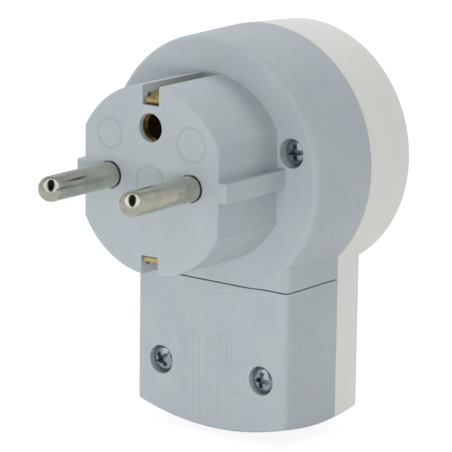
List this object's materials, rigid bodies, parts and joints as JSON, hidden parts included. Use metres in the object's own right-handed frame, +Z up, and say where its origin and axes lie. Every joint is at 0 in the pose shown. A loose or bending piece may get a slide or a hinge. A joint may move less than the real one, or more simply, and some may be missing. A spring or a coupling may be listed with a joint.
{
  "type": "pass-through plug",
  "caption": "Rewirable mains plug with round pins and side earth contacts, a recessed socket in its back for another plug, and a cord arm hanging below.",
  "frame": {"origin": "midway between the two plug pins, on the face of the boss that meets the wall socket", "axes": "-Y along the plug pins, away from the plug; +Y out of the socket in the back; +Z up, with the cord arm hanging to -Z; X from pin to pin"},
  "size_m": [0.0502, 0.0676, 0.0773],
  "materials": {
    "grey_plastic": "satin moulded, light bluish grey",
    "white_plastic": "satin moulded, warm off-white",
    "inner_plastic": "plain moulded",
    "plated_pin": "nickel plated, polished",
    "brass": "stamped, bright",
    "zinc_steel": "blue zinc plated",
    "spring_steel": "drawn wire"
  },
  "bodies": {
    "body": {"front_housing": "grey_plastic", "cord_cover": "grey_plastic", "rear_housing": "white_plastic", "line_pin": "plated_pin", "neutral_pin": "plated_pin", "earth_pin": "plated_pin", "line_contact": "brass", "neutral_contact": "brass", "earth_frame": "brass", "earth_sleeve": "brass", "line_terminal": "brass", "neutral_terminal": "brass", "earth_terminal": "brass", "terminal_screws": "zinc_steel", "housing_screws": "zinc_steel", "cover_screws": "zinc_steel", "clamp_screws": "zinc_steel", "cord_clamp": "inner_plastic", "shutter_retainer": "inner_plastic", "shutter_spring": "spring_steel"},
    "shutter": {"shutter": "inner_plastic"}
  },
  "joints": [
    {"name": "shutter_slide", "type": "slide", "parent": "body", "child": "shutter", "axis": [0, 0, -1], "range_m": [0, 0.0058], "stiffness_N_per_m": 60, "springref_m": -0.003, "deforming": ["shutter_spring"]}
  ]
}
